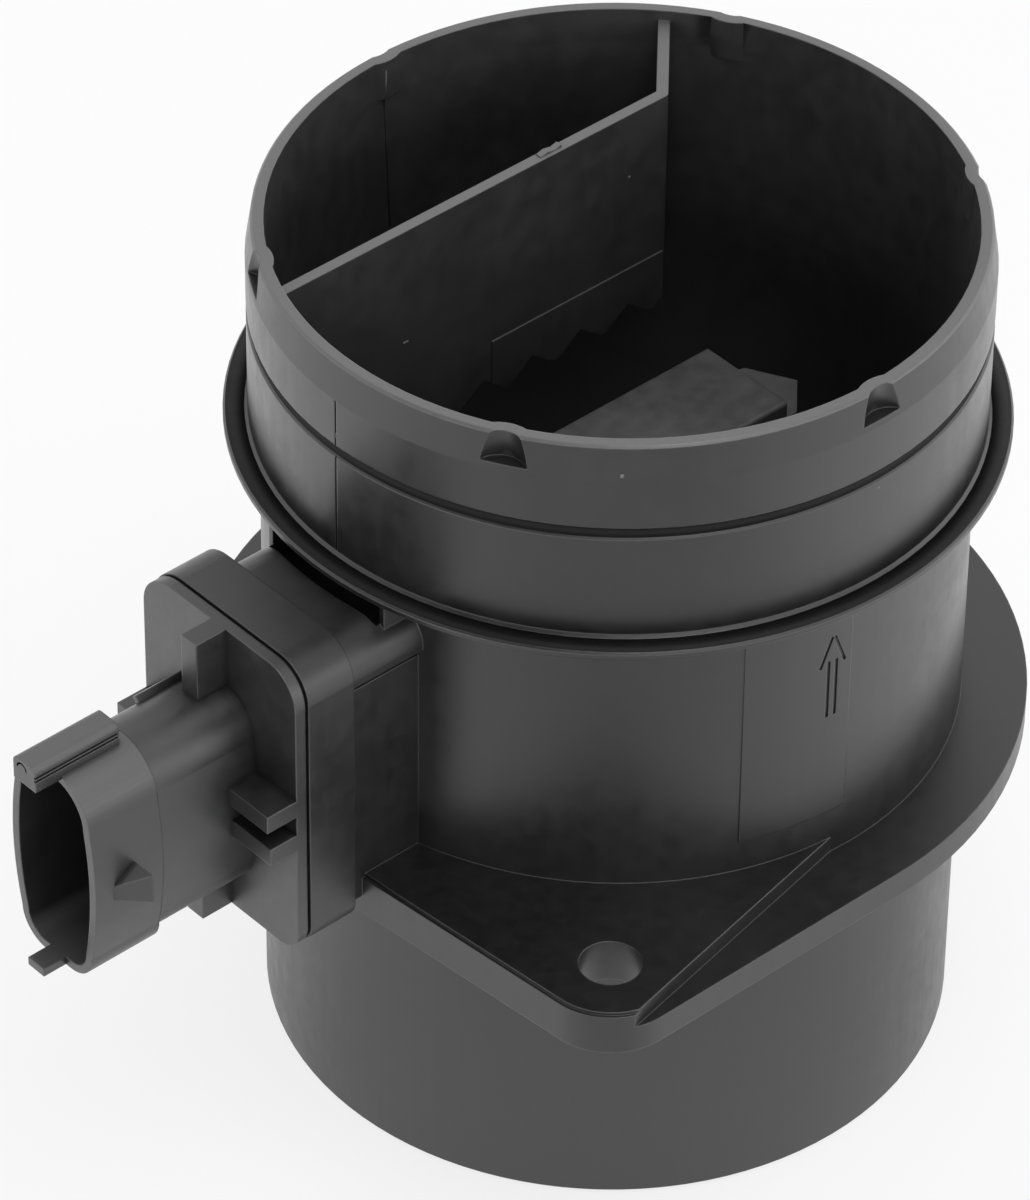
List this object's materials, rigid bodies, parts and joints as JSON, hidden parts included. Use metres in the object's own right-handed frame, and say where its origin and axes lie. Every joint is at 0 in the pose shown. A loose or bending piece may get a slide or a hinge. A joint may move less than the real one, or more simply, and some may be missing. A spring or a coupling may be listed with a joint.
{
  "type": "mass airflow sensor",
  "caption": "Black plastic air duct with a hose collar, an eared mounting flange and a plug-in hot-film airflow sensor with an open connector socket in its side.",
  "frame": {"origin": "centre of the inlet spigot's lower edge, on the duct's axis", "axes": "+Z along the duct's axis with the air flow, from the spigot to the outlet collar; -X along the sensor's axis, towards the connector's mouth"},
  "size_m": [0.1383, 0.0994, 0.1143],
  "materials": {
    "housing_black": "satin moulded, slightly uneven sheen",
    "sensor_black": "fine moulded texture",
    "cover_black": "fine moulded texture",
    "seal_rubber": "dull",
    "plate_metal": "brushed",
    "board_ceramic": "fired ceramic",
    "chip_black": "moulded epoxy",
    "capacitor_tan": "sintered",
    "carrier_green": "laminate",
    "silicon": "polished",
    "bead_glass": "glazed",
    "lead_wire": "drawn",
    "contact_tin": "tinned"
  },
  "bodies": {
    "root": {"housing": "housing_black", "sensor_body": "sensor_black", "electronics_cover": "cover_black", "bypass_cover": "cover_black", "seal_ring": "seal_rubber", "base_plate": "plate_metal", "circuit_board": "board_ceramic", "signal_chip": "chip_black", "capacitor_a": "capacitor_tan", "capacitor_b": "capacitor_tan", "chip_carrier": "carrier_green", "sensing_chip": "silicon", "temp_bead": "bead_glass", "temp_lead_a": "lead_wire", "temp_lead_b": "lead_wire", "terminal_1": "contact_tin", "terminal_2": "contact_tin", "terminal_3": "contact_tin", "terminal_4": "contact_tin", "terminal_5": "contact_tin"}
  },
  "joints": []
}
